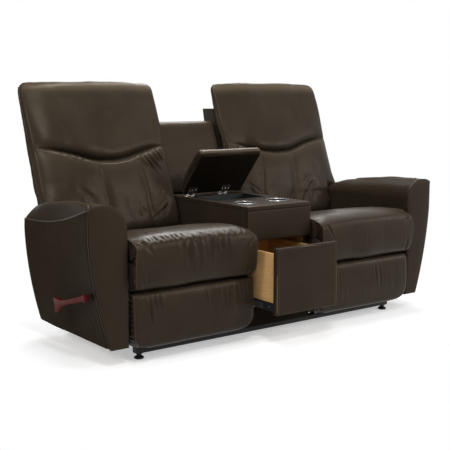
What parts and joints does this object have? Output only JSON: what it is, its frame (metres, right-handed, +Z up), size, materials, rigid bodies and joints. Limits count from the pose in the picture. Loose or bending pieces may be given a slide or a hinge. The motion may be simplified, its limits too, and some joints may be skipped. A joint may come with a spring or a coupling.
{
  "type": "reclining loveseat",
  "caption": "Reclining loveseat with a middle console: fold-out footrests, reclining backs, lift-up lid over a storage bin, cup holders and a pull-out drawer.",
  "frame": {"origin": "middle of the footprint on the floor, with the drawer standing open as drawn", "axes": "+X to the right as seen from the front, +Y to the rear, +Z up"},
  "size_m": [1.84, 0.996, 1.071],
  "materials": {
    "leather": "satin",
    "leather_dark": "satin",
    "plywood": "matte",
    "birch": "satin",
    "handle_wood": "gloss",
    "mechanism_steel": "satin",
    "slide_steel": "satin",
    "black_steel": "satin",
    "black_plastic": "matte",
    "chrome": "polished"
  },
  "bodies": {
    "base": {"base_rails": "black_steel", "mechanism_rails": "mechanism_steel", "floor_glides": "black_plastic", "mechanism_side_plates": "mechanism_steel", "console_sides": "leather", "console_apron": "leather", "kick_panel": "leather_dark", "console_deck": "leather", "cup_holder_left": "chrome", "cup_holder_right": "chrome", "storage_bin": "black_plastic", "middle_back_pad": "leather", "middle_back_panel": "leather_dark", "lid_hinges_fixed": "chrome", "slides_fixed": "mechanism_steel", "arm_front_left": "leather", "arm_front_right": "leather", "arm_cover_left": "leather", "arm_cover_right": "leather", "arm_frame_left": "plywood", "arm_frame_right": "plywood", "arm_pad_left": "leather", "arm_pad_right": "leather"},
    "lid": {"lid_board": "black_plastic", "lid_pad": "leather", "lid_hinges_moving": "chrome"},
    "drawer": {"drawer_front": "leather", "drawer_box": "birch", "slides_drawer": "mechanism_steel"},
    "drawer_slide_members": {"slides_middle": "slide_steel"},
    "left_drive": {"torque_shaft_left": "mechanism_steel", "handle_left": "handle_wood"},
    "left_rods": {"drive_rods_left": "mechanism_steel"},
    "left_rear_links": {"rear_links_left": "mechanism_steel"},
    "left_front_links": {"front_links_left": "mechanism_steel"},
    "left_footrest": {"footrest_pad_left": "leather", "footrest_board_left": "plywood", "footrest_brackets_left": "mechanism_steel"},
    "left_seat": {"seat_cushion_left": "leather", "seat_frame_left": "plywood", "seat_springs_left": "mechanism_steel", "seat_brackets_left": "mechanism_steel"},
    "left_back": {"back_pad_left": "leather", "back_frame_left": "plywood", "back_shell_left": "leather_dark"},
    "right_drive": {"torque_shaft_right": "mechanism_steel", "handle_right": "handle_wood"},
    "right_rods": {"drive_rods_right": "mechanism_steel"},
    "right_rear_links": {"rear_links_right": "mechanism_steel"},
    "right_front_links": {"front_links_right": "mechanism_steel"},
    "right_footrest": {"footrest_pad_right": "leather", "footrest_board_right": "plywood", "footrest_brackets_right": "mechanism_steel"},
    "right_seat": {"seat_cushion_right": "leather", "seat_frame_right": "plywood", "seat_springs_right": "mechanism_steel", "seat_brackets_right": "mechanism_steel"},
    "right_back": {"back_pad_right": "leather", "back_frame_right": "plywood", "back_shell_right": "leather_dark"}
  },
  "joints": [
    {"name": "drawer_slide", "type": "slide", "parent": "base", "child": "drawer", "axis": [0, -1, 0], "range_m": [-0.178, 0.168]},
    {"name": "drawer_members_slide", "type": "slide", "parent": "base", "child": "drawer_slide_members", "axis": [0, -1, 0], "range_m": [-0.089, 0.084]},
    {"name": "lid_hinge", "type": "hinge", "parent": "base", "child": "lid", "pos_m": [0, 0.171, 0.567], "axis": [-1, 0, 0], "range_deg": [-50, 40]},
    {"name": "left_handle", "type": "hinge", "parent": "base", "child": "left_drive", "pos_m": [-0.4635, -0.281, 0.271], "axis": [1, 0, 0], "range_deg": [0, 60]},
    {"name": "left_rear_link", "type": "hinge", "parent": "base", "child": "left_rear_links", "pos_m": [-0.4635, -0.217, 0.222], "axis": [1, 0, 0], "range_deg": [-135.6, 0]},
    {"name": "left_front_link", "type": "hinge", "parent": "left_rear_links", "child": "left_front_links", "pos_m": [-0.4635, -0.1142, 0.0955], "axis": [1, 0, 0], "range_deg": [0, 135.4]},
    {"name": "left_footrest_pivot", "type": "hinge", "parent": "left_front_links", "child": "left_footrest", "pos_m": [-0.4635, -0.272, 0.2], "axis": [1, 0, 0], "range_deg": [-89.8, 0]},
    {"name": "left_drive_rod", "type": "hinge", "parent": "left_drive", "child": "left_rods", "pos_m": [-0.4635, -0.26663, 0.24019], "axis": [1, 0, 0], "range_deg": [-132.8, 0]},
    {"name": "left_seat_slide", "type": "slide", "parent": "base", "child": "left_seat", "axis": [0, -0.9848, 0.1736], "range_m": [0, 0.03]},
    {"name": "left_recline", "type": "hinge", "parent": "left_seat", "child": "left_back", "pos_m": [-0.4635, 0.258, 0.372], "axis": [-1, 0, 0], "range_deg": [0, 27]},
    {"name": "right_handle", "type": "hinge", "parent": "base", "child": "right_drive", "pos_m": [0.4635, -0.281, 0.271], "axis": [1, 0, 0], "range_deg": [0, 60]},
    {"name": "right_rear_link", "type": "hinge", "parent": "base", "child": "right_rear_links", "pos_m": [0.4635, -0.217, 0.222], "axis": [1, 0, 0], "range_deg": [-135.6, 0]},
    {"name": "right_front_link", "type": "hinge", "parent": "right_rear_links", "child": "right_front_links", "pos_m": [0.4635, -0.1142, 0.0955], "axis": [1, 0, 0], "range_deg": [0, 135.4]},
    {"name": "right_footrest_pivot", "type": "hinge", "parent": "right_front_links", "child": "right_footrest", "pos_m": [0.4635, -0.272, 0.2], "axis": [1, 0, 0], "range_deg": [-89.8, 0]},
    {"name": "right_drive_rod", "type": "hinge", "parent": "right_drive", "child": "right_rods", "pos_m": [0.4635, -0.26663, 0.24019], "axis": [1, 0, 0], "range_deg": [-132.8, 0]},
    {"name": "right_seat_slide", "type": "slide", "parent": "base", "child": "right_seat", "axis": [0, -0.9848, 0.1736], "range_m": [0, 0.03]},
    {"name": "right_recline", "type": "hinge", "parent": "right_seat", "child": "right_back", "pos_m": [0.4635, 0.258, 0.372], "axis": [-1, 0, 0], "range_deg": [0, 27]}
  ],
  "couplings": [
    {"joint": "drawer_members_slide", "follows": "drawer_slide", "ratio": 0.5},
    {"joint": "left_rear_link", "follows": "left_handle", "ratio": -2.258},
    {"joint": "left_front_link", "follows": "left_handle", "ratio": 2.255},
    {"joint": "left_footrest_pivot", "follows": "left_handle", "ratio": -1.4956},
    {"joint": "left_drive_rod", "follows": "left_handle", "ratio": -2.211},
    {"joint": "left_seat_slide", "follows": "left_recline", "m_per_rad": 0.0636},
    {"joint": "right_rear_link", "follows": "right_handle", "ratio": -2.258},
    {"joint": "right_front_link", "follows": "right_handle", "ratio": 2.255},
    {"joint": "right_footrest_pivot", "follows": "right_handle", "ratio": -1.4956},
    {"joint": "right_drive_rod", "follows": "right_handle", "ratio": -2.211},
    {"joint": "right_seat_slide", "follows": "right_recline", "m_per_rad": 0.0636}
  ]
}
